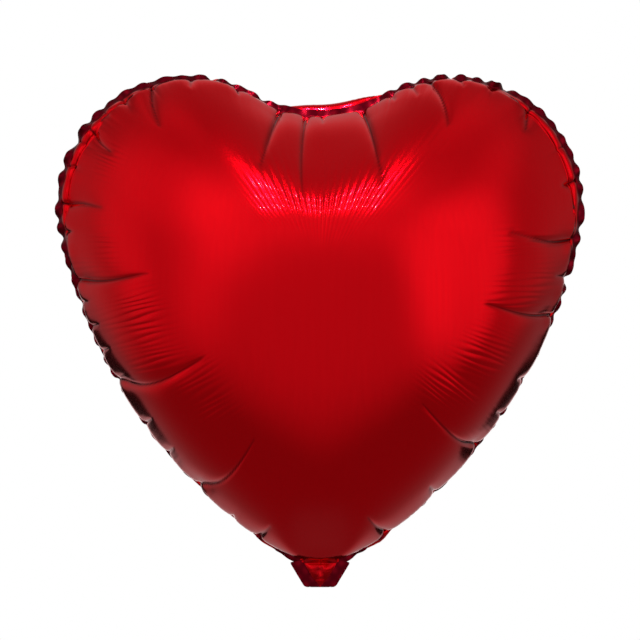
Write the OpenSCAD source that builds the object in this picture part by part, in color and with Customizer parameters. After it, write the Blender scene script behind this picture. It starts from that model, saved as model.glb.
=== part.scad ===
// Heart-shaped foil balloon, filled with gas and upright.
// +Z is up, the front panel faces -Y, and the origin is at the middle of the
// neck, where the tail leaves the body and a ribbon is tied.

/* [Heart outline] */
// Radius of each round lobe at the top
lobe_r = 94; // [78:1:120]
// Distance of a lobe's centre from the middle of the heart
lobe_x = 99; // [85:1:110]
// Height of the lobes' centres above the neck
lobe_z = 266; // [220:1:320]
// How far the notch lies below the tops of the lobes
notch_depth = 27; // [18:1:45]
// Radius of the long flanks from the lobes down to the tip
flank_r = 380; // [340:5:600]
// Radius that rounds the tip above the neck
tip_r = 42; // [25:1:55]

/* [Inflated panels] */
// How far each panel bulges away from the seam
panel_depth = 89; // [60:1:110]
// Height of the middle of the bulge above the neck
bulge_z = 205; // [180:1:240]
// Radius that the bulge's level lines round off to in the middle
bulge_r = 180; // [140:1:195]
// Thickness of the foil film
foil_t = 0.2; // [0.1:0.05:0.4]

/* [Puckers] */
// Number of creases that run in from each panel's rim
pucker_count = 28; // [20:4:40]
// Depth of a crease at its deepest
pucker_depth = 5; // [0:0.5:7]
// Share of the way to the middle of the bulge that a crease runs
pucker_reach = 0.34; // [0.2:0.02:0.45]

/* [Seam] */
// Width of the flat welded flange outside the seam
flange_w = 5; // [3:0.5:8]

/* [Tail] */
// Length of the tail below the neck
tail_len = 18; // [12:1:40]
// Width of the tail at the neck
tail_top_w = 44; // [36:1:52]
// Width of the tail at its mouth
tail_mouth_w = 23; // [22:1:34]
// Radius of the two corners at the mouth
tail_corner_r = 4; // [2:0.5:6]

/* [Valve] */
// Width of the flat valve sleeve
valve_w = 16; // [12:1:20]
// Length of the sleeve above the neck, inside the gas space
valve_len = 118; // [80:1:150]
// Thickness of each film of the sleeve
valve_film_t = 0.1; // [0.05:0.05:0.15]
// Width of the seals that join the films along their two long edges
valve_seal_w = 1.5; // [0.75:0.25:1.5]
// Width of the printed patch that keeps the sleeve open through the weld
patch_w = 8; // [5:0.5:9]
// Length of the printed patch above the neck
patch_len = 22; // [14:1:40]
// Distance of the sleeve's mouth from the end of the tail
valve_recess = 2; // [1:0.5:5]

/* [Hidden] */

foil_red = [0.72, 0.02, 0.06];
weld_red = [0.50, 0.01, 0.04];
valve_clear = [0.86, 0.88, 0.90];
patch_grey = [0.45, 0.47, 0.50];

// The films cross the fold line without a break. Here their two halves each stop
// this far from it, so that the tail turns freely.
fold_gap = 0.5;
// Height of the lowest point of the seam above the fold line
rim_z = 1.5;

// The layers between the two foil panels: film, patch or seal, film
seal_t = 0.1;
stack_t = 2 * valve_film_t + seal_t;
// Outer face of a foil panel at the seam
seam_y = stack_t / 2 + foil_t;

// Points along the rim for each pucker, and rows from the rim to the middle
points_per_pucker = 4;
rim_points = pucker_count * points_per_pucker;
rows = 9;
// Power of the bulge's section: 2 is an ellipse, and film that can't stretch
// is flatter in the middle
bulge_power = 2.8;
// Power of the distance from the middle at which level lines take on the heart's
// own outline
outline_power = 2;
// Makes the deepest point of a crease as deep as pucker_depth
crease_peak = 27 / 4;

// ---------- heart outline: four arcs from the notch down to the tip ----------

lobe_c = [lobe_x, lobe_z];
notch_z = lobe_z + lobe_r - notch_depth;
notch_rise = notch_z - lobe_z;
notch_r = (lobe_x ^ 2 + notch_rise ^ 2 - lobe_r ^ 2) / (2 * (lobe_r - notch_rise));
notch_c = [0, notch_z + notch_r];
notch_end = atan2(lobe_c[1] - notch_c[1], lobe_x);

tip_c = [0, rim_z + tip_r];
tip_drop = lobe_z - tip_c[1];
flank_gap = flank_r - lobe_r;
flank_lean = ((flank_r - tip_r) ^ 2 - lobe_x ^ 2 - tip_drop ^ 2 - flank_gap ^ 2)
    / (2 * flank_gap * norm([lobe_x, tip_drop]));
flank_start = -(atan2(lobe_x, tip_drop) + asin(flank_lean));
flank_c = lobe_c - flank_gap * [cos(flank_start), sin(flank_start)];
flank_end = atan2(tip_c[1] - flank_c[1], tip_c[0] - flank_c[0]);

// Each arc is [centre, radius, first angle, last angle, 1 if it bulges outwards]
half_outline = [
    [notch_c, notch_r, -90, notch_end, -1],
    [lobe_c, lobe_r, notch_end + 180, flank_start, 1],
    [flank_c, flank_r, flank_start, flank_end, 1],
    [tip_c, tip_r, flank_end, -90, 1]
];

function arc_len(arc) = arc[1] * abs(arc[3] - arc[2]) * PI / 180;
function total(list, i = 0) = i < len(list) ? list[i] + total(list, i + 1) : 0;
half_len = total([for (arc = half_outline) arc_len(arc)]);

// Point and outward direction at distance s from the notch, as [x, z, dx, dz]
function along(s, i = 0) =
    let (arc = half_outline[i], l = arc_len(arc))
    s > l && i < len(half_outline) - 1 ? along(s - l, i + 1) :
    let (a = arc[2] + (arc[3] - arc[2]) * min(s / l, 1))
    [arc[0][0] + arc[1] * cos(a), arc[0][1] + arc[1] * sin(a),
        arc[4] * cos(a), arc[4] * sin(a)];

function mirrored(p) = [-p[0], p[1], -p[2], p[3]];

// The whole rim, clockwise as seen from the front, from the notch
rim = [for (i = [0 : rim_points - 1])
    let (share = 2 * i / rim_points)
    share <= 1 ? along(share * half_len) : mirrored(along((2 - share) * half_len))];

function seam_point(i) = [rim[i][0], rim[i][1]];
// The flange's outer edge stops just above the fold line at the neck
function flange_point(i) =
    let (p = seam_point(i) + flange_w * [rim[i][2], rim[i][3]])
    [p[0], max(p[1], fold_gap)];

// ---------- inflated panel ----------

// Slope angle from the rim, 0, to the middle of the bulge, 90
function slope(row) = 90 * row / rows;

// Depth of a crease along its length q, from 0 at the weld to 1 at its inner end:
// most at a third of the way
function crease_fade(q) = q < 1 ? crease_peak * q * (1 - q) ^ 2 : 0;
// Section across the film from one crease at t = 0 to the next at t = 1: it dips in
// the creases and is puffed up between them
function crease_dip(t) = 1 - sqrt(4 * t * (1 - t));

// A point of the film on the line from the middle to rim point i, inset below its
// outer face, with the creases shifted by a number of rim points. Its section obeys
// s ^ bulge_power + (height / panel_depth) ^ 2 = 1, and dips and insets run along
// that curve's normal.
function film_point(i, row, shift, inset) =
    let (
        a = slope(row),
        s = cos(a) ^ (2 / bulge_power),
        out = seam_point(i) - [0, bulge_z],
        r = norm(out),
        reach = s * (r * s ^ outline_power + bulge_r * (1 - s ^ outline_power)),
        gradient = [bulge_power * s ^ (bulge_power - 1) / r, 2 * sin(a) / panel_depth],
        normal = gradient / norm(gradient),
        t = ((i + shift) % points_per_pucker) / points_per_pucker,
        dip = pucker_depth * crease_fade((1 - s) / pucker_reach) * crease_dip(t),
        level = reach - (dip + inset) * normal[0],
        height = panel_depth * sin(a) - (dip + inset) * normal[1]
    )
    [out[0] / r * level, -seam_y - height, bulge_z + out[1] / r * level];

// Flange edge, seam corner and rows of one face of the film
function outer_rings(shift) = [
    [for (i = [0 : rim_points - 1]) let (p = flange_point(i))
        [p[0], -seam_y, p[1]]],
    [for (i = [0 : rim_points - 1]) let (p = seam_point(i))
        [p[0], -seam_y, p[1]]],
    for (row = [1 : rows - 1])
        [for (i = [0 : rim_points - 1]) film_point(i, row, shift, 0)]
];
function inner_rings(shift) = [
    [for (i = [0 : rim_points - 1]) let (p = flange_point(i)) [p[0], -stack_t / 2, p[1]]],
    [for (i = [0 : rim_points - 1])
        let (p = seam_point(i) - foil_t * [rim[i][2], rim[i][3]])
        [p[0], -stack_t / 2, p[1]]],
    for (row = [1 : rows - 1])
        [for (i = [0 : rim_points - 1]) film_point(i, row, shift, foil_t)]
];

// Triangles between two neighbouring rings of n points that start at a and b
function band(a, b, n) = [for (i = [0 : n - 1]) let (j = (i + 1) % n)
    each [[a + i, a + j, b + j], [a + i, b + j, b + i]]];
// Triangles from a ring that starts at a to one point
function cap(a, point, n) = [for (i = [0 : n - 1]) [a + i, a + (i + 1) % n, point]];
function flipped(faces) = [for (f = faces) [f[2], f[1], f[0]]];

module foil_panel(shift) {
    n = rim_points;
    rings = rows + 1;
    top_y = seam_y + panel_depth;
    points = [
        for (ring = outer_rings(shift)) each ring,
        [0, -top_y, bulge_z],
        for (ring = inner_rings(shift)) each ring,
        [0, foil_t - top_y, bulge_z]
    ];
    inner_start = rings * n + 1;
    faces = [
        for (k = [0 : rings - 2]) each band(k * n, (k + 1) * n, n),
        each cap((rings - 1) * n, rings * n, n),
        for (k = [0 : rings - 2])
            each flipped(band(inner_start + k * n, inner_start + (k + 1) * n, n)),
        each flipped(cap(inner_start + (rings - 1) * n, inner_start + rings * n, n)),
        each band(inner_start, 0, n)
    ];
    polyhedron(points, faces, convexity = 8);
}

module front_panel() {
    color(foil_red) foil_panel(0);
}

// The back's creases lie between the front's
module back_panel() {
    color(foil_red) mirror([0, 1, 0]) foil_panel(points_per_pucker / 2);
}

// ---------- flat layers ----------

// A flat layer drawn in X and Z, from y to y + t
module layer(y, t) {
    translate([0, y + t, 0]) rotate([90, 0, 0]) linear_extrude(t) children();
}

module perimeter_weld() {
    color(weld_red) layer(-stack_t / 2, stack_t) difference() {
        polygon([for (i = [0 : rim_points - 1]) flange_point(i)]);
        polygon([for (i = [0 : rim_points - 1]) seam_point(i)]);
        translate([-valve_w / 2, -tail_len]) square([valve_w, tail_len + flange_w + rim_z]);
    }
}

// Tail outline: straight sides that narrow to the mouth, with round corners there
tail_side = [tail_mouth_w / 2 - tail_top_w / 2, fold_gap - tail_len];
tail_side_angle = atan2(-tail_side[1], -tail_side[0]);
corner_turn = tail_side_angle;
corner_back = tail_corner_r * tan(corner_turn / 2);
corner_steps = 6;
corner_c = [tail_mouth_w / 2 - corner_back, tail_corner_r - tail_len];
tail_half = [
    [tail_top_w / 2, -fold_gap],
    for (k = [0 : corner_steps])
        let (a = -90 + corner_turn * (1 - k / corner_steps))
        corner_c + tail_corner_r * [cos(a), sin(a)]
];

module tail_outline() {
    n = len(tail_half);
    polygon([
        each tail_half,
        for (k = [n - 1 : -1 : 0]) [-tail_half[k][0], tail_half[k][1]]
    ]);
}

module tail_front_ply() {
    color(foil_red) layer(-seam_y, foil_t) tail_outline();
}

module tail_back_ply() {
    color(foil_red) layer(stack_t / 2, foil_t) tail_outline();
}

// The weld beside the valve: side is -1 for the left and 1 for the right
module tail_weld(side) {
    outer_edge = side * tail_top_w / 2;
    inner_edge = side * valve_w / 2;
    color(weld_red) layer(-stack_t / 2, stack_t) intersection() {
        tail_outline();
        translate([min(outer_edge, inner_edge), -tail_len])
            square([abs(outer_edge - inner_edge), tail_len]);
    }
}

module tail_left_weld() {
    tail_weld(-1);
}

module tail_right_weld() {
    tail_weld(1);
}

// ---------- self-sealing valve ----------

valve_mouth_z = valve_recess - tail_len;

// A strip of the sleeve between two heights, with its middle line at x
module strip(x, w, low, high, y, t) {
    layer(y, t) translate([x - w / 2, low]) square([w, high - low]);
}

module valve_film(low, high, y) {
    color(valve_clear) strip(0, valve_w, low, high, y, valve_film_t);
}

// The seal along one edge of the sleeve: side is -1 for the left and 1 for the right
module valve_seal(side, low, high) {
    x = side * (valve_w - valve_seal_w) / 2;
    color(valve_clear) strip(x, valve_seal_w, low, high, -seal_t / 2, seal_t);
}

module valve_front_film() {
    valve_film(fold_gap, valve_len, -stack_t / 2);
}

module valve_back_film() {
    valve_film(fold_gap, valve_len, seal_t / 2);
}

module valve_left_seal() {
    valve_seal(-1, fold_gap, valve_len);
}

module valve_right_seal() {
    valve_seal(1, fold_gap, valve_len);
}

module valve_release_patch() {
    color(patch_grey) strip(0, patch_w, fold_gap, patch_len, -seal_t / 2, seal_t);
}

module tail_valve_front_film() {
    valve_film(valve_mouth_z, -fold_gap, -stack_t / 2);
}

module tail_valve_back_film() {
    valve_film(valve_mouth_z, -fold_gap, seal_t / 2);
}

module tail_valve_left_seal() {
    valve_seal(-1, valve_mouth_z, -fold_gap);
}

module tail_valve_right_seal() {
    valve_seal(1, valve_mouth_z, -fold_gap);
}

front_panel();
back_panel();
perimeter_weld();
valve_front_film();
valve_back_film();
valve_left_seal();
valve_right_seal();
valve_release_patch();
tail_front_ply();
tail_back_ply();
tail_left_weld();
tail_right_weld();
tail_valve_front_film();
tail_valve_back_film();
tail_valve_left_seal();
tail_valve_right_seal();
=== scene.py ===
# Heart-shaped foil balloon: two puckered film panels, the weld between them, a tail and a flat valve.
import bpy
import math
import numpy as np
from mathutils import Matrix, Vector


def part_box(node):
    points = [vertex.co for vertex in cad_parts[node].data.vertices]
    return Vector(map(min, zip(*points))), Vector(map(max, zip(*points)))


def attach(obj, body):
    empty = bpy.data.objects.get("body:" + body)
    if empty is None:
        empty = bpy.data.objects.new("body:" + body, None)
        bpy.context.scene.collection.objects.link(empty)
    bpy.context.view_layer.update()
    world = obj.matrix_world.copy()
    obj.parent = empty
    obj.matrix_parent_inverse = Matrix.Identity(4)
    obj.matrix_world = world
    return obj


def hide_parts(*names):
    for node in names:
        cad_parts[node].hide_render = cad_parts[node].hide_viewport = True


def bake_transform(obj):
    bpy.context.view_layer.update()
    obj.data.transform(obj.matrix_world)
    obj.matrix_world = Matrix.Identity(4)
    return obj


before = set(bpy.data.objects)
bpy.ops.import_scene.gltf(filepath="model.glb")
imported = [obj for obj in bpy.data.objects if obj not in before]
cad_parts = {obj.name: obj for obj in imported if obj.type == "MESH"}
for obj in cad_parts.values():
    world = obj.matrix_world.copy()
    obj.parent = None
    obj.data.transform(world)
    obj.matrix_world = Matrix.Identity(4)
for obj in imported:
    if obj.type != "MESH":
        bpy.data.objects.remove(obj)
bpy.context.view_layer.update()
mm = 0.001


def linearColour(code):
    # sRGB hex to linear: c/12.92 up to 0.04045, ((c + 0.055)/1.055)^2.4 above
    parts = [int(code[i:i + 2], 16) / 255 for i in (1, 3, 5)]
    return [c / 12.92 if c <= 0.04045 else ((c + 0.055) / 1.055) ** 2.4 for c in parts] + [1]


def addNode(tree, kind, settings=None, links=None):
    # one node, its socket or property values, and what feeds its sockets
    node = tree.nodes.new(kind)
    for name, value in (settings or {}).items():
        if isinstance(name, int) or name in node.inputs:
            node.inputs[name].default_value = value
        else:
            setattr(node, name, value)
    for name, source in (links or {}).items():
        tree.links.new(source, node.inputs[name])
    return node


def gridObject(name, rows, material, around=True, closed=False, cap=None, flip=False):
    # rows: points [row, column, 3] in metres. around joins the last column to the first,
    # closed joins the last row to the first, and cap is a point that closes the last row
    count, columns = rows.shape[:2]
    across = np.arange(columns if around else columns - 1)
    down = np.arange(count if closed else count - 1)[:, None]
    nextAcross = (across + 1) % columns
    nextDown = (down + 1) % count
    quads = np.stack([down * columns + across, down * columns + nextAcross,
                      nextDown * columns + nextAcross, nextDown * columns + across], axis=-1)
    points = rows.reshape(-1, 3)
    faces = quads.reshape(-1, 4).tolist()
    if cap is not None:
        last = (count - 1) * columns
        ring = np.stack([last + across, last + nextAcross, np.full(len(across), len(points))], axis=-1)
        points = np.vstack([points, cap])
        faces += ring.tolist()
    if flip:
        faces = [face[::-1] for face in faces]
    mesh = bpy.data.meshes.new(name)
    mesh.from_pydata(points.tolist(), [], faces)
    mesh.materials.append(material)
    mesh.polygons.foreach_set("use_smooth", np.ones(len(mesh.polygons), dtype=bool))
    mesh.update()
    piece = bpy.data.objects.new(name, mesh)
    bpy.context.scene.collection.objects.link(piece)
    return piece


def spreadOut(count, places, density):
    # count places whose spacing is as 1/density: equal steps of the density's running sum
    running = np.concatenate([[0], np.cumsum((density[1:] + density[:-1]) / 2 * np.diff(places))])
    return np.interp(np.arange(count) / count * running[-1], running, places)


def closedNoise(share, waves, seed):
    # twelve sines that close round the rim, with about this many waves in all
    draws = np.random.default_rng(seed)
    cycles = np.round(waves * draws.uniform(0.4, 1.6, 12))
    phases = draws.uniform(0, 2 * math.pi, 12)
    return np.sin(2 * math.pi * cycles * share[..., None] + phases).sum(axis=-1) / 12 ** 0.5


def softLeast(a, b, softness):
    # the smaller of two, rounded where they cross: -softness log(e^(-a/softness) + e^(-b/softness))
    low = np.minimum(a, b)
    return low - softness * np.log(np.exp((low - a) / softness) + np.exp((low - b) / softness))


# The heart's seam and bulge as inflated, in mm
panelBox = np.array(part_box("front_panel")) / mm
heart = {
    "flange": 5.0,          # width of the welded flange outside the seam
    "lobeRadius": 94.0,
    "notchDepth": 27.0,
    "flankRadius": 380.0,
    "tipRadius": 42.0,
    "tipZ": 1.5,            # lowest point of the seam above the fold line
    "neckZ": 0.5,           # the flange stops here, just above the fold line
    "middleZ": 205.0,       # height of the middle of the bulge
    "middleRadius": 180.0,  # level lines round off to this radius in the middle
    "power": 2.8,           # section of film that can't stretch: s^2.8 + h^2 = 1
    "filmY": 0.35,          # outer face of a film where it is welded
}
heart["lobeX"] = panelBox[1][0] - heart["flange"] - heart["lobeRadius"]
heart["lobeZ"] = panelBox[1][2] - heart["flange"] - heart["lobeRadius"]
heart["depth"] = -panelBox[0][1] - heart["filmY"]


def heartArcs(h):
    # half outline from the notch to the tip: notch, lobe and flank arcs, and the tip's arc,
    # each tangent to the next, as (centre x, centre z, radius, first angle, last angle, side)
    rise = h["lobeRadius"] - h["notchDepth"]
    notchRadius = (h["lobeX"] ** 2 + rise ** 2 - h["lobeRadius"] ** 2) / (2 * h["notchDepth"])
    notchZ = h["lobeZ"] + rise + notchRadius
    notchEnd = math.atan2(h["lobeZ"] - notchZ, h["lobeX"])
    tipZ = h["tipZ"] + h["tipRadius"]
    drop = h["lobeZ"] - tipZ
    gap = h["flankRadius"] - h["lobeRadius"]
    lean = (((h["flankRadius"] - h["tipRadius"]) ** 2 - h["lobeX"] ** 2 - drop ** 2 - gap ** 2)
            / (2 * gap * math.hypot(h["lobeX"], drop)))
    flankStart = -(math.atan2(h["lobeX"], drop) + math.asin(lean))
    flankX = h["lobeX"] - gap * math.cos(flankStart)
    flankZ = h["lobeZ"] - gap * math.sin(flankStart)
    flankEnd = math.atan2(tipZ - flankZ, -flankX)
    return np.array([
        [0, notchZ, notchRadius, -math.pi / 2, notchEnd, -1],
        [h["lobeX"], h["lobeZ"], h["lobeRadius"], notchEnd + math.pi, flankStart, 1],
        [flankX, flankZ, h["flankRadius"], flankStart, flankEnd, 1],
        [0, tipZ, h["tipRadius"], flankEnd, -math.pi / 2, 1],
    ])


arcs = heartArcs(heart)
arcLengths = arcs[:, 2] * np.abs(arcs[:, 4] - arcs[:, 3])
rimLength = 2 * arcLengths.sum()


def heartRim(share):
    # point and outward direction on the seam, share 0..1 clockwise from the notch:
    # the distance along the half outline picks an arc and an angle on it
    ends = np.cumsum(arcLengths)
    side = np.where(share <= 0.5, 1.0, -1.0)
    along = np.where(share <= 0.5, share, 1 - share) * 2 * ends[-1]
    pick = np.minimum(np.searchsorted(ends, along), len(arcs) - 1)
    arc = arcs[pick]
    part = (along - (ends - arcLengths)[pick]) / arcLengths[pick]
    angle = arc[:, 3] + (arc[:, 4] - arc[:, 3]) * part
    turn = np.stack([np.cos(angle), np.sin(angle)], axis=1)
    mirror = np.stack([side, np.ones_like(side)], axis=1)
    return (arc[:, :2] + arc[:, 2:3] * turn) * mirror, arc[:, 5:6] * turn * mirror


fineShare = np.arange(12000) / 12000
fineRim = heartRim(fineShare)[0]


def shareAt(x, z):
    # share of the rim nearest a point
    return fineShare[np.argmin((fineRim[:, 0] - x) ** 2 + (fineRim[:, 1] - z) ** 2)]


def rimDistance(share, x, z):
    # distance along the rim from the place nearest a point
    return np.abs((share - shareAt(x, z) + 0.5) % 1 - 0.5) * rimLength


# The laminate at the weld wanders front and back between the puckers, and its flange leans
weld = {
    "wander": 1.3,       # how far the seam wanders from the middle plane
    "wanders": 46,       # about how many times round the rim
    "lean": 34,          # degrees that the flange leans back
    "leanChange": 26,    # and how much that changes
    "leans": 60,
    "tailZone": 34,      # distance along the rim from the tip where it lies flat for the tail
    "notchCalm": 0.75,   # and how much less it wanders at the notch
    "notchAt": (8, 337),  # middle of that calm stretch, x and z
    "notchReach": 42,    # and half its length along the rim
    "gather": 0.42,      # share of a crease's depth by which it draws the rim in
    "gatherReach": 2.6,  # and how far along the rim it does so
    "thickness": 0.3,
    "insideFilm": 0.5,   # the weld's edge stays this far inside the film's
    "around": 1100,
    "neckHalf": 9.0,     # half the gap at the neck where the valve passes
    "taper": 6,          # how many points the band thins in at either end of that gap
}


def gathersOf(creases):
    # where each crease meets the rim, and how far it draws the rim in there
    return [(x, z, weld["gather"] * depth) for x, z, _, _, _, depth, _, _ in creases]


def weldPath(share, gathers):
    # the laminate's seam, its outward direction, its y and the lean of its flange: the rim
    # drawn in at each gather, with noise in y and in the lean, both flat near the tail
    rim, outward = heartRim(share)
    flat = np.clip(rimDistance(share, 0, heart["tipZ"]) / weld["tailZone"], 0, 1) ** 2
    nearNotch = np.exp(-(rimDistance(share, *weld["notchAt"]) / weld["notchReach"]) ** 4)
    flat *= 1 - weld["notchCalm"] * nearNotch
    seamY = weld["wander"] * closedNoise(share, weld["wanders"], 3) * flat
    lean = np.radians(weld["lean"] + weld["leanChange"] * closedNoise(share, weld["leans"], 4)) * flat
    drawn = sum(pull * np.exp(-rimDistance(share, x, z) / weld["gatherReach"])
                for x, z, pull in gathers)
    seam = rim - outward * drawn[:, None]
    return seam, outward, seamY, lean


def flangeRow(share, gathers, out, inset=0.0):
    # the row of flange points at this share of its width, 0 at the seam
    seam, outward, seamY, lean = weldPath(share, gathers)
    width = (heart["flange"] - inset) * out
    edge = seam + outward * (width * np.cos(lean))[:, None]
    return np.stack([edge[:, 0], seamY + width * np.sin(lean), np.maximum(edge[:, 1], heart["neckZ"])],
                    axis=-1)


# Creases of the front panel, each from the rim inwards: where it starts (x, z) and ends (x, z)
# in mm, how far it bows sideways, its depth, and how wide its left and right slopes are
frontCreases = [
    (-30, 337, -44, 292, 2, 5.0, 9, 5),
    (-10, 336, -12, 268, 0, 4.0, 5, 6),
    (2, 334, 2, 326, 0, 1.5, 4, 4),
    (31, 341, 45, 280, -2, 5.0, 5, 9),
    (54, 350, 57, 342, 0, 3.0, 7, 7),
    (70, 355, 73, 346, 0, 3.0, 6, 6),
    (83, 357, 93, 322, 2, 5.0, 9, 5),
    (105, 361, 107, 352, 0, 3.2, 7, 7),
    (129, 356, 127, 349, 0, 3.0, 7, 7),
    (159, 341, 152, 320, 0, 4.6, 6, 9),
    (185, 313, 178, 309, 0, 3.2, 7, 7),
    (194, 286, 178, 282, 1, 4.6, 8, 6),
    (189, 242, 137, 245, 4, 5.4, 6, 10),
    (182, 214, 172, 214, 0, 2.4, 7, 7),
    (173, 185, 119, 193, 3, 5.4, 10, 6),
    (154, 136, 144, 138, 0, 3.4, 8, 8),
    (137, 110, 129, 114, 0, 2.6, 7, 7),
    (116, 90, 72, 123, 3, 5.4, 9, 6),
    (86, 53, 80, 60, 0, 3.0, 8, 8),
    (49, 24, 34, 39, 0, 4.6, 6, 8),
    (-63, 355, -61, 346, 0, 3.0, 7, 7),
    (-97, 360, -96, 351, 0, 3.4, 7, 7),
    (-127, 357, -117, 322, -2, 5.2, 5, 9),
    (-149, 348, -143, 340, 0, 3.2, 6, 6),
    (-163, 339, -158, 332, 0, 2.6, 6, 6),
    (-173, 325, -152, 304, -2, 4.6, 9, 6),
    (-183, 317, -175, 312, 0, 3.0, 6, 6),
    (-190, 298, -180, 295, 0, 3.4, 7, 7),
    (-192, 268, -158, 263, 2, 4.8, 6, 9),
    (-192, 248, -182, 247, 0, 2.8, 6, 6),
    (-181, 212, -122, 215, -3, 5.4, 6, 11),
    (-178, 195, -169, 195, 0, 2.6, 6, 6),
    (-172, 176, -162, 178, 0, 3.0, 6, 6),
    (-163, 158, -154, 161, 0, 2.6, 6, 6),
    (-151, 138, -82, 155, -5, 5.6, 6, 11),
    (-131, 104, -123, 109, 0, 3.0, 6, 6),
    (-114, 82, -107, 88, 0, 2.8, 6, 6),
    (-91, 60, -46, 97, -4, 5.4, 6, 10),
    (-67, 33, -62, 39, 0, 2.8, 6, 6),
    (-45, 22, -36, 31, 0, 4.0, 6, 6),
]
backCreases = [(-x0, z0, -x1, z1, -bow, depth, right, left)
               for x0, z0, x1, z1, bow, depth, left, right in frontCreases if abs(x0 + 12) > 44]

# Where the back film bulges out past the front one: x, z, how far and half the length, in mm
backBulges = [
    (12, 337, 9.0, 40), (-80, 363, 4.5, 14), (110, 362, 3.5, 11),
    (136, 353, 4.0, 9), (157, 342, 3.0, 6), (176, 325, 3.0, 5), (184, 310, 2.5, 5),
    (-195, 240, 5.0, 22), (196, 283, 3.0, 10), (196, 262, 3.5, 12), (-120, 92, 2.5, 9),
    (-36, 17, 2.5, 14), (38, 19, 2.5, 12), (-186, 315, 2.0, 5), (-160, 342, 2.0, 6),
]

# Patches of fine ripples, where the film is gathered: middle (x, z), the ripples' direction in
# degrees from +X, half the patch's size across and along them, their spacing and height
frontRipples = [
    (-161, 240, 0, 25, 14, 4.0, 0.34),
    (-129, 176, 14, 36, 21, 4.2, 0.34),
    (-80, 121, 30, 28, 18, 4.2, 0.22),
    (-157, 296, -22, 16, 9, 3.6, 0.2),
    (150, 219, 3, 27, 26, 3.9, 0.42),
    (93, 116, -36, 24, 21, 4.0, 0.34),
    (124, 158, -20, 22, 18, 4.0, 0.26),
]

panel = {
    "around": 1560,
    "domeRows": 58,
    "flangeRows": 4,
    "crowd": 1.6,         # how much closer the columns stand at a crease
    "crowdWidth": 6.0,
    "notchCrowd": 0.5,    # and at the notch
    "notchCrowdWidth": 70.0,
    "puff": 8.4,          # how hard the film bulges just inside the seam
    "puffReach": 14.0,    # and how far in that reaches
    "held": 3.0,          # distance in which the film comes free of the weld
    "free": 12.0,         # and in which its ripples reach their full height
    "seamFade": 10.0,     # distance in which the seam's own wander fades out
    "bulgeGain": 1.8,     # makes up for what the puff's fade takes off a bulge
    "pucker": 0.12,       # fine puckers round the seam: height, number and reach
    "puckers": 190,
    "puckerReach": 9.0,
    "tipCalm": 46.0,      # distance from the tip within which it bulges less
    "notchCalm": 60.0,    # and from the notch
    "shortCrease": 14.0,  # creases shorter than this end softly
    "valleyShare": 0.85,  # share of a crease's depth that its valley takes
    "foldShare": 0.33,    # and the thin fold line in the valley
    "foldWidth": 1.1,
    "valleyRound": 0.12,  # square of the half width in which the valley's floor is rounded
    # the fold lines' painted shade: its half width, and the crease depth that takes it fully
    "shadeWidth": 0.75,   # half width of the shading along the fold line
    "shadeDepth": 5.0,    # depth of crease that is shaded fully
    "ramp": 1.06,         # slope of the film that spans the notch
    "rampTurn": 0.75,     # how much steeper the ramp is towards the lobes
    "rampRim": 15.0,      # height that the ramp gains close to the seam
    "rampRound": 5.0,
    "bend": 10.0,         # softness of the bend where the ramp meets the dome
    "bendWiden": 52.0,    # distance from the middle at which it is twice as soft
    "glintSpacing": 4.9,  # ripples across that bend
    "glintReach": 75.0,   # their spacing is measured this far above the middle of the bulge
    "glintHeight": 0.36,
    "glintHalfWidth": 52.0,
    "glintAbove": 26.0,   # how far they run above the bend, and below it
    "glintBelow": 20.0,
    "faintShare": 0.35,   # a fainter patch of them to the right: height, middle, half its
    "faintX": 72.0,       # width and half its length
    "faintHalfWidth": 24.0,
    "faintHalfLength": 14.0,
    "tipRamp": 1.2,       # slope of the film above the neck, where the tail holds it flat
    "tipHalfWidth": 11.0,
    "tipRise": 1.5,
    "neckHalfWidth": 14.5,
    "neckLift": 1.3,      # half the gap between the films at the fold line
    "neckReach": 7.0,     # height in which that gap closes
}


def rampHeight(x, z):
    # film that spans the notch: a cone round the centre of the notch's arc, steeper away
    # from the middle, on a quick rise at the seam
    notchZ, notchRadius = arcs[0][1], arcs[0][2]
    radius = np.hypot(x, notchZ - z)
    gap = np.maximum(radius - notchRadius, 0)
    turn = (np.abs(x) / radius) ** 1.3
    slope = panel["ramp"] * (1 + panel["rampTurn"] * turn)
    return slope * gap + panel["rampRim"] * (1 - np.exp(-gap / panel["rampRound"]))


def tipHeight(x, z):
    # film above the neck: it rises evenly with the distance from the tail's root
    gap = np.hypot(np.maximum(np.abs(x) - panel["tipHalfWidth"], 0), z - heart["neckZ"])
    return panel["tipRise"] + panel["tipRamp"] * gap


def panelBase(share):
    # level lines shrink from the seam towards the middle while they round off to a circle;
    # height = depth (1 - s^power)^0.5, cut down by the ramps at the notch and the tip
    rim = heartRim(share)[0]
    middle = np.array([0.0, heart["middleZ"]])
    ray = rim - middle
    reach = np.hypot(ray[:, 0], ray[:, 1])
    places = np.linspace(0, math.pi / 2, 400)
    rise = spreadOut(panel["domeRows"], places, 1 + 0.9 * np.exp(-((places - 0.95) / 0.3) ** 2))
    s = (np.cos(rise) ** (2 / heart["power"]))[:, None]
    level = s * (reach * s ** 2 + heart["middleRadius"] * (1 - s ** 2))
    plan = middle + level[..., None] * (ray / reach[:, None])[None]
    dome = np.broadcast_to(heart["depth"] * np.sin(rise)[:, None], level.shape)
    ramp = rampHeight(plan[..., 0], plan[..., 1])
    height = softLeast(dome, ramp, panel["bend"] * (1 + (plan[..., 0] / panel["bendWiden"]) ** 2))
    height = softLeast(height, tipHeight(plan[..., 0], plan[..., 1]), panel["bend"] / 2)
    height = np.maximum(height, 0) * np.minimum(dome / 4, 1)
    return rim, np.stack([plan[..., 0], height, plan[..., 1]], axis=-1)


def surfaceNormals(points):
    # cross product of the differences along the two grid directions
    around = np.roll(points, -1, axis=1) - np.roll(points, 1, axis=1)
    inwards = np.gradient(points, axis=0)
    normal = np.cross(around, inwards)
    return normal / np.maximum(np.linalg.norm(normal, axis=-1, keepdims=True), 1e-9)


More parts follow.
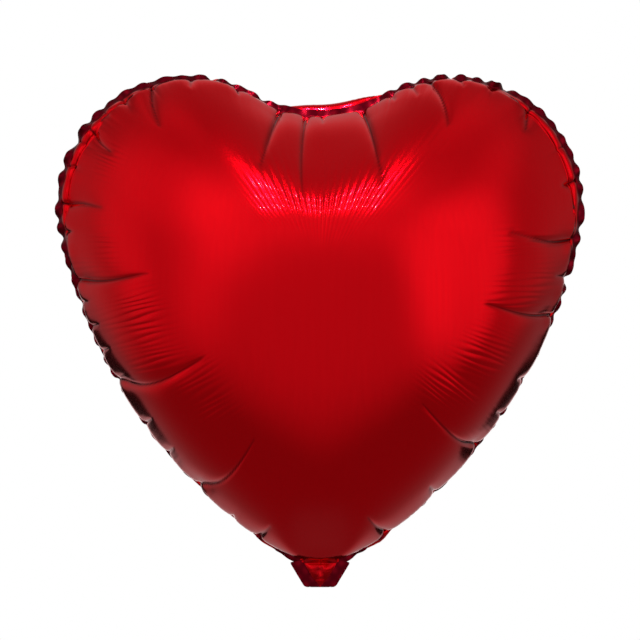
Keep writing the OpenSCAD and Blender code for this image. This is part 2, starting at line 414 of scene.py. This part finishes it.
def creaseField(points, share, inside, creases):
    # sum of valleys -depth fade(x) exp(-d/width), plus a thin fold line: x runs 0..1 along a
    # crease and d is the distance across it, both taken in the panel's own grid. The second
    # field is the fold lines alone, 0..1, for the painted shade that darkens the lacquer there
    step = np.linalg.norm(np.roll(points, -1, axis=1) - points, axis=-1)
    scale = step / ((np.roll(share, -1) - share) % 1)
    rounding = panel["valleyRound"]
    total = np.zeros(inside.shape)
    shade = np.zeros(inside.shape)
    for x0, z0, x1, z1, bow, depth, left, right in creases:
        start = shareAt(x0, z0)
        gap = (points[..., 0] - x1) ** 2 + (points[..., 2] - z1) ** 2
        row, column = np.unravel_index(np.argmin(gap), gap.shape)
        reach = inside[row, column]
        x = inside / reach
        swing = (share[column] - start + 0.5) % 1 - 0.5
        path = (start + swing * np.clip(x, 0, 1.3) ** 1.3
                + bow / scale[row, column] * np.sin(np.pi * np.clip(x, 0, 1)))
        across = ((share - path + 0.5) % 1 - 0.5) * scale
        width = np.where(across < 0, left, right) * (1 - 0.5 * np.clip(x, 0, 1))
        away = np.sqrt(across ** 2 + rounding) - rounding ** 0.5
        fade = np.clip(1 - x, 0, 1) ** 1.2 * np.clip(0.55 + 2.5 * x, 0, 1)
        fade = np.where(reach < panel["shortCrease"], np.exp(-(x * 0.9) ** 2), fade)
        fold = np.clip(1 - x, 0, 1) ** 0.4 * np.exp(-away / panel["foldWidth"])
        valley = panel["valleyShare"] * fade * np.exp(-away / width)
        total -= depth * (valley + panel["foldShare"] * fold)
        line = np.clip(1 - x, 0, 1) ** 0.35 * np.clip(depth / panel["shadeDepth"], 0, 1)
        shade = np.maximum(shade, line * np.exp(-(across / panel["shadeWidth"]) ** 2))
    return total, shade


def rippleField(x, z, patches):
    # round crests and sharp valleys: height |cos(pi u/spacing)| of the wavering distance u
    # across the ripples, inside a soft-edged patch
    total = np.zeros(x.shape)
    for middleX, middleZ, angle, halfAcross, halfAlong, spacing, height in patches:
        turn = math.radians(angle)
        along = (x - middleX) * math.cos(turn) + (z - middleZ) * math.sin(turn)
        across = (z - middleZ) * math.cos(turn) - (x - middleX) * math.sin(turn)
        wobble = 0.9 * np.sin(across / 6.1 + middleX) + 0.5 * np.sin(across / 2.7 + along / 9)
        crest = np.sqrt(np.cos(np.pi * across / spacing + wobble) ** 2 + 0.02)
        patch = np.exp(-(across / halfAcross) ** 4 - np.abs(along / halfAlong) ** 2.4)
        uneven = 0.65 + 0.35 * np.sin(across / 8.3 + 2 * middleZ)
        total += 1.5 * height * uneven * patch * crest
    return total


def glintField(x, z):
    # ripples across the bend below the notch, which run towards the middle of the bulge:
    # height |cos(pi u/spacing)|, u being x spread out from that middle, in two soft patches
    notchZ, notchRadius = arcs[0][1], arcs[0][2]
    radius = np.hypot(x, notchZ - z)
    bendRadius = notchRadius + (heart["depth"] - panel["rampRim"]) / (
        panel["ramp"] * (1 + panel["rampTurn"] * (np.abs(x) / radius) ** 1.3))
    away = radius - bendRadius
    spread = panel["glintReach"] * x / np.maximum(z - heart["middleZ"], 20)
    wave = np.pi * spread / panel["glintSpacing"] + 0.5 * np.sin(spread / 9)
    crest = np.sqrt(np.cos(wave) ** 2 + 0.015)
    length = np.where(away < 0, panel["glintAbove"], panel["glintBelow"])
    patch = np.exp(-np.abs(away / length) ** 2.2 - (x / panel["glintHalfWidth"]) ** 6)
    uneven = 0.75 + 0.25 * np.sin(spread / 5.3)
    faint = panel["faintShare"] * np.exp(-((x - panel["faintX"]) / panel["faintHalfWidth"]) ** 4
                                         - np.abs(away / panel["faintHalfLength"]) ** 2.2)
    return panel["glintHeight"] * crest * np.maximum(patch * uneven, faint)


def weldedShadedFaces(piece, weldedAndShaded):
    # the faces that the sealing bar pressed take the weld's finish, darkened partly as painted shade
    piece.data.materials.append(sealedAndShaded)
    piece.data.polygons.foreach_set("material_index", weldedAndShaded.astype(np.int32))


def shadeFolds(piece, depth):
    # painted shade: how deep in a fold each point is, 0..1, which darkens the lacquer there
    attribute = piece.data.attributes.new("paintedFoldShade", "FLOAT", "POINT")
    attribute.data.foreach_set("value", depth)


def foilPanel(name, side, creases, ripples, bulges, material):
    # the base surface, moved along its normals by the puff at the seam, the creases and the
    # ripples, with the flange's rows outside it; columns crowd at the creases and the notch
    crowd = sum(np.exp(-(rimDistance(fineShare, x, z) / panel["crowdWidth"]) ** 2)
                for x, z, *_ in creases)
    nearNotch = np.exp(-(rimDistance(fineShare, 0, 340) / panel["notchCrowdWidth"]) ** 4)
    crowd = 1 + panel["crowd"] * np.minimum(crowd, 1) + panel["notchCrowd"] * nearNotch
    share = spreadOut(panel["around"], np.append(fineShare, 1), np.append(crowd, crowd[0]))
    rim, points = panelBase(share)
    normal = surfaceNormals(points)
    step = np.linalg.norm(np.diff(points, axis=0), axis=-1)
    inside = np.vstack([np.zeros((1, len(share))), np.cumsum(step, axis=0)])
    held = 1 - np.exp(-inside / panel["held"])
    calm = (np.clip(rimDistance(share, 0, 0) / panel["tipCalm"], 0.08, 1) ** 1.5
            * (0.45 + 0.55 * np.clip(rimDistance(share, 0, 340) / panel["notchCalm"], 0, 1) ** 2))
    extra = sum(size * np.exp(-(rimDistance(share, x, z) / half) ** 4) for x, z, size, half in bulges)
    puff = panel["puff"] * calm + panel["bulgeGain"] * extra
    puff = puff * held * np.exp(-inside / panel["puffReach"])
    field, shade = creaseField(points, share, inside, creases)
    field = field * held
    free = 1 - np.exp(-inside / panel["free"])
    field += rippleField(points[..., 0], points[..., 2], ripples) * free
    field += glintField(points[..., 0], points[..., 2]) * free
    puckers = panel["pucker"] * closedNoise(share, panel["puckers"], 7)
    field += puckers * np.exp(-inside / panel["puckerReach"]) * held
    points = points + normal * (field + puff)[..., None]
    # the seam's own path: its gathers and its wander fade out inwards
    gathers = gathersOf(creases)
    seam, _, seamY, _ = weldPath(share, gathers)
    fade = np.exp(-inside / panel["seamFade"])
    points[..., 0] += (seam - rim)[:, 0] * fade
    points[..., 2] += (seam - rim)[:, 1] * fade
    points[..., 1] = side * (points[..., 1] + heart["filmY"]) + seamY * fade
    points[..., 2] = np.maximum(points[..., 2], heart["neckZ"])
    out = np.linspace(1, 0, panel["flangeRows"] + 1)[:-1]
    flange = np.stack([flangeRow(share, gathers, part) for part in out])
    flange[..., 1] += side * heart["filmY"]
    top = np.array([0, side * (heart["depth"] + heart["filmY"]), heart["middleZ"]])
    rows = np.concatenate([flange, points])
    # the films stay apart where the tail's tongue leaves the panel
    neck = np.clip(1 - (rows[..., 0] / panel["neckHalfWidth"]) ** 2, 0, 1) ** 0.65
    neckFade = np.exp(-((rows[..., 2] - heart["neckZ"]) / panel["neckReach"]) ** 2)
    rows[..., 1] += side * panel["neckLift"] * neck * neckFade
    rows *= mm
    piece = gridObject(name, rows, material, cap=top * mm, flip=side > 0)
    place = np.arange(len(piece.data.polygons))
    atNeck = (rimDistance(share, 0, 0) < panel["neckHalfWidth"])[place % panel["around"]]
    # the flange's faces take the weld's finish, darkened partly as painted shade
    weldedShadedFaces(piece, (place < panel["flangeRows"] * panel["around"]) & ~atNeck)
    # neither the flange nor the cap's point lies in a fold, so they take no painted shade
    flangeShade = np.zeros(panel["flangeRows"] * panel["around"])
    shadeFolds(piece, np.concatenate([flangeShade, shade.ravel(), [0]]))
    return piece


def weldBand(name, material):
    # thin closed band between the films, open at the neck where the valve passes
    openShare = weld["neckHalf"] / rimLength
    share = (0.5 + np.linspace(openShare, 1 - openShare, weld["around"])) % 1
    gathers = gathersOf(frontCreases)
    inner = flangeRow(share, gathers, 0.0)
    outer = flangeRow(share, gathers, 1.0, weld["insideFilm"])
    place = np.arange(weld["around"])
    half = weld["thickness"] / 2 * np.clip(np.minimum(place, place[::-1]) / weld["taper"], 0, 1)
    lift = np.stack([0 * half, half, 0 * half], axis=-1)
    rows = np.stack([inner - lift, outer - lift, outer + lift, inner + lift]) * mm
    return gridObject(name, rows, material, around=False, closed=True)


# The tail: two flat plies with a small inflated tongue between the welds
tailBox = np.array(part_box("tail_front_ply")) / mm
tail = {
    "top": 6.0,              # the tongue starts above the fold line, where it leaves the panel
    "length": -tailBox[0][2],
    "topWidth": tailBox[1][0] - tailBox[0][0],
    "mouthWidth": 23.0,
    "corner": 5.5,
    "waist": 1.9,            # how far the sides curve in
    "shoulderTaper": 4.5,    # how fast the ply narrows above the fold line
    "tongueWidth": 29.0,
    "tongueEnd": 16.0,
    "tongueRoot": 1.0,       # height of the tongue at the fold line, low enough to fold past the body
    "tongueSwell": 2.1,      # how much higher it gets below
    "swellStart": 0.16,      # share of the tongue's length in which it does so
    "centreFold": 0.9,       # depth of the fold down its middle
    "centreWidth": 1.1,
    "crinkle": 0.75,
    "crinkles": 14,          # how many sines make up the crinkle
    "edgeY": 0.42,           # outer face of a ply where it is welded
    # the most painted shade that the tongue's pleats take
    "shade": 0.75,
}


def tailHalfWidth(z):
    # straight sides that narrow to the mouth, with a quarter round at the corners
    down = np.clip(-z / tail["length"], 0, 1)
    width = tail["topWidth"] / 2 + (tail["mouthWidth"] - tail["topWidth"]) / 2 * down
    width -= tail["waist"] * np.sin(math.pi * down) + tail["shoulderTaper"] * np.maximum(z - 0.5, 0)
    drop = np.clip(tail["corner"] - (tail["length"] + z), 0, tail["corner"])
    return width - (tail["corner"] - np.sqrt(np.maximum(tail["corner"] ** 2 - drop ** 2, 0)))


def tailPly(name, side, material, seed):
    # a flat ply with the tongue's half-round swelling on it: y = proud (1 - (x/half)^2)^0.65,
    # less a fold down the middle, plus a crinkle of folded sines |sin u|
    z = np.concatenate([np.linspace(tail["top"], -2, 22)[:-1],
                        -2 - (tail["length"] - 2) * np.sin(np.linspace(0, math.pi / 2, 44))])[:, None]
    across = np.sin(np.linspace(-math.pi / 2, math.pi / 2, 91))[None, :]
    x = across * tailHalfWidth(z)
    down = np.clip((tail["top"] - z) / (tail["top"] + tail["tongueEnd"]), 0, 1)
    half = tail["tongueWidth"] / 2 * (1 - down) ** 0.7 + 0.4
    tongue = np.clip(1 - (x / half) ** 2, 0, 1) ** 0.65
    below = np.maximum(-z, 0) / tail["tongueEnd"]
    swell = tail["tongueSwell"] * (1 - np.exp(-below / tail["swellStart"])) * np.clip(1 - below, 0, 1)
    proud = tail["tongueRoot"] * (1 - down ** 5) + swell
    draws = np.random.default_rng(seed)
    crinkle = np.zeros(x.shape)
    for cycle in range(tail["crinkles"]):
        angle = draws.uniform(0, math.pi)
        size = draws.uniform(0.45, 1.3)
        phase = draws.uniform(0, 2 * math.pi)
        along = x * math.cos(angle) + z * math.sin(angle)
        crinkle += np.abs(np.sin(size * along / 2 + phase)) / tail["crinkles"] ** 0.5
    neck = panel["tipRamp"] * np.maximum(z, 0) * tongue ** 0.4 - 0.02 * np.maximum(z, 0) ** 2.2
    middleFold = np.exp(-np.abs(x - 0.6 + z / 20) / tail["centreWidth"])
    folded = proud * tongue + neck - tail["centreFold"] * tongue * middleFold
    calm = np.clip(np.minimum(-z, tail["length"] + z) / 4, 0, 1)
    rough = tail["crinkle"] * (crinkle - 1.5) * calm * (0.35 + tongue) * (1 - np.abs(across) ** 6)
    y = tail["edgeY"] + np.maximum(folded + rough, 0)
    rows = np.stack([x, side * y, z + 0 * x], axis=-1) * mm
    piece = gridObject(name, rows, material, around=False, flip=side < 0)
    # the welded sides take the weld's finish, darkened partly as painted shade
    weldedShadedFaces(piece, (np.abs(x) > half)[:-1, :-1].ravel())
    # painted shade for the tongue's pleats shading each other: darker where the crinkle is low
    # and further down: none from 4 mm above the fold line, full from 2 mm below it
    shade = tail["shade"] * np.clip(0.75 + 0.35 * (1.5 - crinkle), 0, 1) * np.clip((4 - z) / 6, 0, 1)
    shadeFolds(piece, shade.ravel())
    return piece


def newMaterial(name):
    material = bpy.data.materials.new(name)
    material.use_nodes = True
    material.node_tree.nodes.clear()
    return material, material.node_tree


def perMetre(spacing):
    # texture scale for features this many mm apart
    return 1 / (spacing * mm)


def foilMaterial():
    # nylon film with vacuum-deposited aluminium under red lacquer: a tinted mirror, hazed a
    # little by the lacquer, that goes pale at its edges and wavers where the film isn't flat
    material, tree = newMaterial("metallised nylon film, red lacquer")
    place = addNode(tree, "ShaderNodeTexCoord").outputs["Object"]
    # unevenness of the film, 24 mm across, and its grain, drawn at 1.6 mm so that it shows
    waver = addNode(tree, "ShaderNodeTexNoise", {"Scale": perMetre(24), "Detail": 1.5},
                    {"Vector": place})
    grain = addNode(tree, "ShaderNodeTexNoise", {"Scale": perMetre(1.6), "Detail": 2.0},
                    {"Vector": place})
    # coating streaks that run up the web, 2.5 mm apart and 90 mm long
    stretch = addNode(tree, "ShaderNodeMapping", {"Scale": (perMetre(2.5), perMetre(2.5), perMetre(90))},
                      {"Vector": place})
    streak = addNode(tree, "ShaderNodeTexNoise", {"Scale": 1.0, "Detail": 1.0},
                     {"Vector": stretch.outputs["Vector"]})
    haze = addNode(tree, "ShaderNodeMath", {"operation": "ADD"},
                   {0: streak.outputs["Fac"], 1: grain.outputs["Fac"]})
    roughness = addNode(tree, "ShaderNodeMapRange", {"From Min": 0.6, "From Max": 1.4, "To Min": 0.15,
                                                     "To Max": 0.18}, {"Value": haze.outputs[0]})
    lacquer = addNode(tree, "ShaderNodeMix", {"data_type": "RGBA", 6: linearColour("#DF0210"),
                                              7: linearColour("#D8020F")}, {0: streak.outputs["Fac"]})
    # painted shade: the lacquer darkens in a fold, for the light lost as the film mirrors itself
    fold = addNode(tree, "ShaderNodeAttribute", {"attribute_name": "paintedFoldShade"})
    shaded = addNode(tree, "ShaderNodeMix", {"data_type": "RGBA", 7: linearColour("#2A0006")},
                     {0: fold.outputs["Fac"], 6: lacquer.outputs[2]})
    wavy = addNode(tree, "ShaderNodeBump", {"Strength": 1.0, "Distance": 0.09 * mm},
                   {"Height": waver.outputs["Fac"]})
    grainy = addNode(tree, "ShaderNodeBump", {"Strength": 1.0, "Distance": 0.0022 * mm},
                     {"Height": grain.outputs["Fac"], "Normal": wavy.outputs["Normal"]})
    shader = addNode(tree, "ShaderNodeBsdfPrincipled", {
        "Metallic": 1.0, "Coat Weight": 0.06, "Coat Roughness": 0.05, "Coat IOR": 1.5,
    }, {"Base Color": shaded.outputs[2], "Roughness": roughness.outputs["Result"],
        "Normal": grainy.outputs["Normal"]})
    addNode(tree, "ShaderNodeOutputMaterial", links={"Surface": shader.outputs["BSDF"]})
    return material


def weldAndShadeMaterial():
    # two films melted together by a knurled bar, with the bar's fine diamonds, 1.2 mm apart:
    # duller than the film, and painted darker, partly as a weld is and partly as painted shade
    material, tree = newMaterial("heat-sealed laminate, knurled, darkened for shade")
    place = addNode(tree, "ShaderNodeTexCoord").outputs["Object"]
    bands = []
    for turn in (math.radians(45), math.radians(-45)):
        turned = addNode(tree, "ShaderNodeMapping", {"Rotation": (0, turn, 0)}, {"Vector": place})
        bands.append(addNode(tree, "ShaderNodeTexWave", {"Scale": perMetre(1.2) / 20, "Distortion": 0.4},
                             {"Vector": turned.outputs["Vector"]}))
    knurl = addNode(tree, "ShaderNodeMath", {"operation": "MULTIPLY"},
                    {0: bands[0].outputs["Fac"], 1: bands[1].outputs["Fac"]})
    bump = addNode(tree, "ShaderNodeBump", {"Strength": 1.0, "Distance": 0.03 * mm},
                   {"Height": knurl.outputs[0]})
    # painted shade: these dark reds are partly the weld's own colour and partly shade
    tint = addNode(tree, "ShaderNodeMix", {"data_type": "RGBA", 6: linearColour("#5C0412"),
                                           7: linearColour("#7E0819")}, {0: knurl.outputs[0]})
    shader = addNode(tree, "ShaderNodeBsdfPrincipled", {"Metallic": 1.0, "Roughness": 0.32},
                     {"Base Color": tint.outputs[2], "Normal": bump.outputs["Normal"]})
    addNode(tree, "ShaderNodeOutputMaterial", links={"Surface": shader.outputs["BSDF"]})
    return material


def valveMaterial():
    # blown polyethylene: clear and limp, with a faint haze and drawing lines 1.5 mm apart
    material, tree = newMaterial("blown polyethylene film, clear")
    place = addNode(tree, "ShaderNodeTexCoord").outputs["Object"]
    stretch = addNode(tree, "ShaderNodeMapping", {"Scale": (perMetre(1.5), perMetre(1.5), perMetre(60))},
                      {"Vector": place})
    lines = addNode(tree, "ShaderNodeTexNoise", {"Scale": 1.0, "Detail": 2.0},
                    {"Vector": stretch.outputs["Vector"]})
    roughness = addNode(tree, "ShaderNodeMapRange", {"To Min": 0.12, "To Max": 0.34},
                        {"Value": lines.outputs["Fac"]})
    tint = addNode(tree, "ShaderNodeMix", {"data_type": "RGBA", 6: linearColour("#F3F6F8"),
                                           7: linearColour("#DDE4E9")}, {0: lines.outputs["Fac"]})
    bump = addNode(tree, "ShaderNodeBump", {"Strength": 0.6, "Distance": 0.02 * mm},
                   {"Height": lines.outputs["Fac"]})
    shader = addNode(tree, "ShaderNodeBsdfPrincipled", {"IOR": 1.51, "Transmission Weight": 0.85},
                     {"Base Color": tint.outputs[2], "Roughness": roughness.outputs["Result"],
                      "Normal": bump.outputs["Normal"]})
    addNode(tree, "ShaderNodeOutputMaterial", links={"Surface": shader.outputs["BSDF"]})
    return material


def releaseInkMaterial():
    # heat-resistant ink printed on the valve: matt and chalky, with pinholes 0.8 mm apart
    material, tree = newMaterial("release ink, screen-printed")
    place = addNode(tree, "ShaderNodeTexCoord").outputs["Object"]
    dots = addNode(tree, "ShaderNodeTexVoronoi", {"Scale": perMetre(0.8)}, {"Vector": place})
    cloud = addNode(tree, "ShaderNodeTexNoise", {"Scale": perMetre(5), "Detail": 3.0}, {"Vector": place})
    cover = addNode(tree, "ShaderNodeMath", {"operation": "MULTIPLY"},
                    {0: dots.outputs["Distance"], 1: cloud.outputs["Fac"]})
    tint = addNode(tree, "ShaderNodeMix", {"data_type": "RGBA", 6: linearColour("#8D9298"),
                                           7: linearColour("#5E6369")}, {0: cover.outputs[0]})
    bump = addNode(tree, "ShaderNodeBump", {"Strength": 0.5, "Distance": 0.02 * mm},
                   {"Height": cover.outputs[0]})
    shader = addNode(tree, "ShaderNodeBsdfPrincipled", {"Roughness": 0.72},
                     {"Base Color": tint.outputs[2], "Normal": bump.outputs["Normal"]})
    addNode(tree, "ShaderNodeOutputMaterial", links={"Surface": shader.outputs["BSDF"]})
    return material


foil = foilMaterial()
sealedAndShaded = weldAndShadeMaterial()
clearFilm = valveMaterial()
releaseInk = releaseInkMaterial()

print("foil panels")
frontFoil = foilPanel("frontFoil", -1, frontCreases, frontRipples, [], foil)
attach(frontFoil, "envelope")
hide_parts("front_panel")
backFoil = foilPanel("backFoil", 1, backCreases, [], backBulges, foil)
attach(backFoil, "envelope")
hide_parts("back_panel")

print("perimeter weld")
# the band takes the weld's finish, darkened partly as painted shade
weldRing = weldBand("weldRing", sealedAndShaded)
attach(weldRing, "envelope")
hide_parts("perimeter_weld")

print("tail")
for name, side, seed in (("tailFrontFilm", -1, 21), ("tailBackFilm", 1, 22)):
    ply = tailPly(name, side, foil, seed)
    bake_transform(ply)
    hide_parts("tail_front_ply" if side < 0 else "tail_back_ply")

print("valve and tail welds")
for name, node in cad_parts.items():
    if name == "valve_release_patch":
        finish = releaseInk
    elif "valve" in name:
        finish = clearFilm
    # the tail's welds take the weld's finish, darkened partly as painted shade
    elif name in ("tail_left_weld", "tail_right_weld"):
        finish = sealedAndShaded
    else:
        continue
    node.data.materials.clear()
    node.data.materials.append(finish)


print("studio")
studio = {
    "ambient": 0.26,    # light from every direction
    "least": 0.01,      # what is left of it inside the flags
    # soft glows and, below zero, dark flags: direction they come from, angle that is fully
    # lit, angle where they end, strength
    "glows": {
        "front": ((0.0, -1.0, 0.25), 5, 60, 0.32),
        "right window": ((0.70, -0.70, 0.12), 8, 36, 0.60),
        "right side": ((1.0, -0.15, 0.22), 8, 44, 0.20),
        "left window": ((-0.80, -0.58, 0.22), 10, 48, 0.31),
        "left side": ((-1.0, 0.1, 0.15), 8, 44, 0.21),
        "upper front": ((-0.15, -0.85, 0.60), 6, 38, 0.32),
        "upper left": ((-0.52, -0.40, 0.75), 6, 36, 0.23),
        "upper right": ((0.50, -0.40, 0.77), 6, 36, 0.27),
        "ceiling": ((0.0, 0.25, 0.97), 10, 50, 0.19),
        "backdrop": ((0.0, 1.0, 0.05), 6, 30, 0.80),
        "upper backdrop": ((0.0, 0.75, 0.66), 10, 45, 0.24),
        "lower backdrop": ((0.0, 0.80, -0.60), 10, 40, 0.16),
        "left flag": ((-0.58, 0.77, -0.27), 4, 13, -0.34),
        "right flag": ((0.58, 0.77, -0.27), 4, 12, -0.34),
    },
    # narrow spotlights on the bend below the notch, one above another: degrees above the
    # horizon, metres, the beam's spread in degrees and watts
    "spots": {"elevations": (46, 55, 64), "distance": 1.6, "aim": (0, 0, 0.268), "size": 0.11,
              "beam": 3.3, "power": 0.022},
    "floorZ": -0.6,
    "floorHalf": 2.0,
    "lens": 150,
    "frameWidth": 0.4773,   # width of the view at the seam
    "viewHeight": 0.1812,
}
world = bpy.data.worlds.new("studio")
bpy.context.scene.world = world
world.use_nodes = True
tree = world.node_tree
tree.nodes.clear()
direction = addNode(tree, "ShaderNodeTexCoord").outputs["Generated"]
light = addNode(tree, "ShaderNodeValue").outputs[0]
light.default_value = studio["ambient"]
for towards, inner, outer, strength in studio["glows"].values():
    # dot product with the glow's direction, smoothed from its outer to its inner angle
    middle = Vector(towards).normalized()
    dot = addNode(tree, "ShaderNodeVectorMath", {"operation": "DOT_PRODUCT", 1: middle},
                  {0: direction})
    glow = addNode(tree, "ShaderNodeMapRange", {
        "interpolation_type": "SMOOTHERSTEP", "From Min": math.cos(math.radians(outer)),
        "From Max": math.cos(math.radians(inner)), "To Max": strength}, {"Value": dot.outputs["Value"]})
    light = addNode(tree, "ShaderNodeMath", {"operation": "ADD"},
                    {0: light, 1: glow.outputs["Result"]}).outputs[0]
light = addNode(tree, "ShaderNodeMath", {"operation": "MAXIMUM", 1: studio["least"]},
                {0: light}).outputs[0]
path = addNode(tree, "ShaderNodeLightPath")
seen = addNode(tree, "ShaderNodeMix", {"data_type": "RGBA", 7: (1, 1, 1, 1)},
               {0: path.outputs["Is Camera Ray"], 6: light})
background = addNode(tree, "ShaderNodeBackground", {"Strength": 1.0}, {"Color": seen.outputs[2]})
addNode(tree, "ShaderNodeOutputWorld", links={"Surface": background.outputs[0]})

spots = studio["spots"]
for elevation in spots["elevations"]:
    spot = bpy.data.lights.new(f"spot {elevation}", "AREA")
    spot.size = spots["size"]
    spot.spread = math.radians(spots["beam"])
    spot.energy = spots["power"]
    spotObject = bpy.data.objects.new(spot.name, spot)
    angle = math.radians(elevation)
    towards = Vector((0, -math.cos(angle), math.sin(angle)))
    spotObject.location = Vector(spots["aim"]) + spots["distance"] * towards
    spotObject.rotation_euler = (-towards).to_track_quat("-Z", "Y").to_euler()
    spotObject.visible_camera = False
    bpy.context.scene.collection.objects.link(spotObject)

floorMaterial, tree = newMaterial("pale studio floor")
shader = addNode(tree, "ShaderNodeBsdfPrincipled", {
    "Base Color": linearColour("#F2F2F2"), "Roughness": 0.9, "Emission Color": (1, 1, 1, 1),
    "Emission Strength": 0.4})
addNode(tree, "ShaderNodeOutputMaterial", links={"Surface": shader.outputs["BSDF"]})
edge = np.array([-1.0, 1.0]) * studio["floorHalf"]
floorRows = np.stack(np.meshgrid(edge, edge) + [np.full((2, 2), studio["floorZ"])], axis=-1)
floor = gridObject("floor", floorRows, floorMaterial, around=False)
floor.visible_glossy = False

camera = bpy.data.cameras.new("camera")
camera.lens = studio["lens"]
cameraObject = bpy.data.objects.new("camera", camera)
distance = studio["frameWidth"] * camera.lens / camera.sensor_width
cameraObject.location = (0, -distance, studio["viewHeight"])
cameraObject.rotation_euler = (math.pi / 2, 0, 0)
bpy.context.scene.collection.objects.link(cameraObject)
bpy.context.scene.camera = cameraObject
bpy.context.scene.view_settings.view_transform = "Standard"
